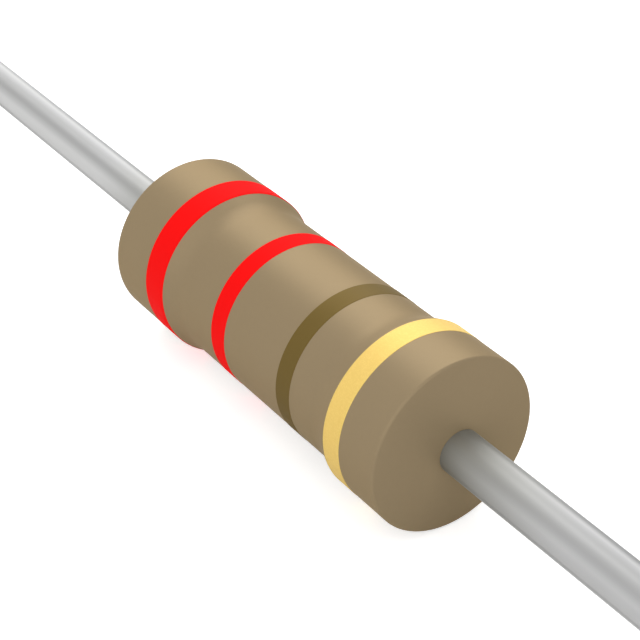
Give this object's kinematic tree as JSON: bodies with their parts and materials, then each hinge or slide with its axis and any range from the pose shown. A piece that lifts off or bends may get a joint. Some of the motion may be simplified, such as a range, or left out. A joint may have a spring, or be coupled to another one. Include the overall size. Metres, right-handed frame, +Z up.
{
  "type": "axial resistor",
  "caption": "Small axial-lead film resistor: lacquered dog-bone body with painted colour bands and a straight tinned wire lead out of each end.",
  "frame": {"origin": "middle of the body on its axis, which is also the middle of the two leads", "axes": "+X along the leads towards the end with the tolerance band, +Z up, +Y completes the right hand"},
  "size_m": [0.0624, 0.0024, 0.0024],
  "materials": {
    "ceramic": "fired ceramic, matt",
    "carbon": "pyrolytic carbon, satin",
    "cap_steel": "tinned pressed steel, satin",
    "tinned_wire": "drawn copper wire, tin plated",
    "lacquer": "tan epoxy lacquer, half gloss",
    "paint_red_first": "band paint",
    "paint_red_second": "band paint",
    "paint_brown": "band paint",
    "paint_gold": "band paint with metal flake"
  },
  "bodies": {
    "root": {"ceramic_rod": "ceramic", "carbon_film": "carbon", "end_cap_rear": "cap_steel", "end_cap_front": "cap_steel", "lead_rear": "tinned_wire", "lead_front": "tinned_wire", "coat": "lacquer", "band_1": "paint_red_first", "band_2": "paint_red_second", "band_3": "paint_brown", "band_4": "paint_gold"}
  },
  "joints": []
}
